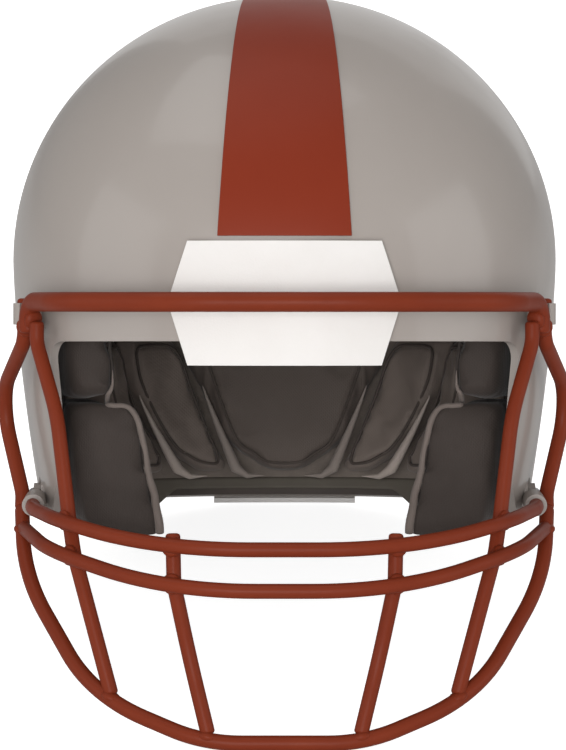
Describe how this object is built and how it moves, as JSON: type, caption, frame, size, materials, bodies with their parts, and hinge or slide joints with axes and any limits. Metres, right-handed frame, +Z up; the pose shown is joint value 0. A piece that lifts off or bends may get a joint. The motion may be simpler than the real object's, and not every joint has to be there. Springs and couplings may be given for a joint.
{
  "type": "football helmet",
  "caption": "Hard shell with padded lining, ear holes, crown stripe and a bent-wire face guard that swings up on its side screws.",
  "frame": {"origin": "centre of the bounding box at the level on which the helmet stands, on its chin bar and its rear bumper", "axes": "+X across, to the right for a viewer who faces the front; the names left and right are that viewer's. The face looks along -Y and is tipped back by 16.5 degrees, +Z up"},
  "size_m": [0.2466, 0.3492, 0.265],
  "materials": {
    "shell": "glossy warm grey moulded shell",
    "stripe": "satin brick red film",
    "bumper": "satin off-white moulding",
    "guard_bar": "dipped rust red coating on steel wire",
    "clip": "satin grey moulding",
    "pad": "matt knitted cover over foam",
    "lining": "matt felt",
    "snap": "matt moulding",
    "valve": "matt",
    "steel": "satin plated"
  },
  "bodies": {
    "helmet": {"shell": "shell", "crown_stripe": "stripe", "front_bumper": "bumper", "front_bumper_screws": "steel", "rear_bumper": "bumper", "rear_bumper_screws": "steel", "back_lining": "lining", "back_pad_centre": "pad", "back_pad_mid_left": "pad", "back_pad_mid_right": "pad", "back_pad_outer_left": "pad", "back_pad_outer_right": "pad", "upper_back_pad": "pad", "crown_pad": "pad", "side_pad_left": "pad", "side_pad_right": "pad", "temple_pad_left": "pad", "temple_pad_right": "pad", "forehead_pad": "pad", "jaw_pad_left": "pad", "jaw_pad_right": "pad", "side_pad_snaps": "snap", "chin_strap_studs": "steel", "stud_nuts": "steel", "pivot_screws": "steel", "pivot_nuts": "steel", "latch_screws": "steel", "latch_nuts": "steel", "inflation_valves": "valve"},
    "face_guard": {"brow_bar": "guard_bar", "chin_bar": "guard_bar", "side_bar_left": "guard_bar", "side_bar_right": "guard_bar", "upper_cross_bar": "guard_bar", "lower_cross_bar": "guard_bar", "inner_bar_left": "guard_bar", "inner_bar_right": "guard_bar", "centre_bar_left": "guard_bar", "centre_bar_right": "guard_bar", "upper_clip_left": "clip", "upper_clip_right": "clip", "lower_clip_left": "clip", "lower_clip_right": "clip"}
  },
  "joints": [
    {"name": "face_guard_hinge", "type": "hinge", "parent": "helmet", "child": "face_guard", "pos_m": [0, -0.04886, 0.1447], "axis": [-1, 0, 0], "range_deg": [0, 25]}
  ]
}
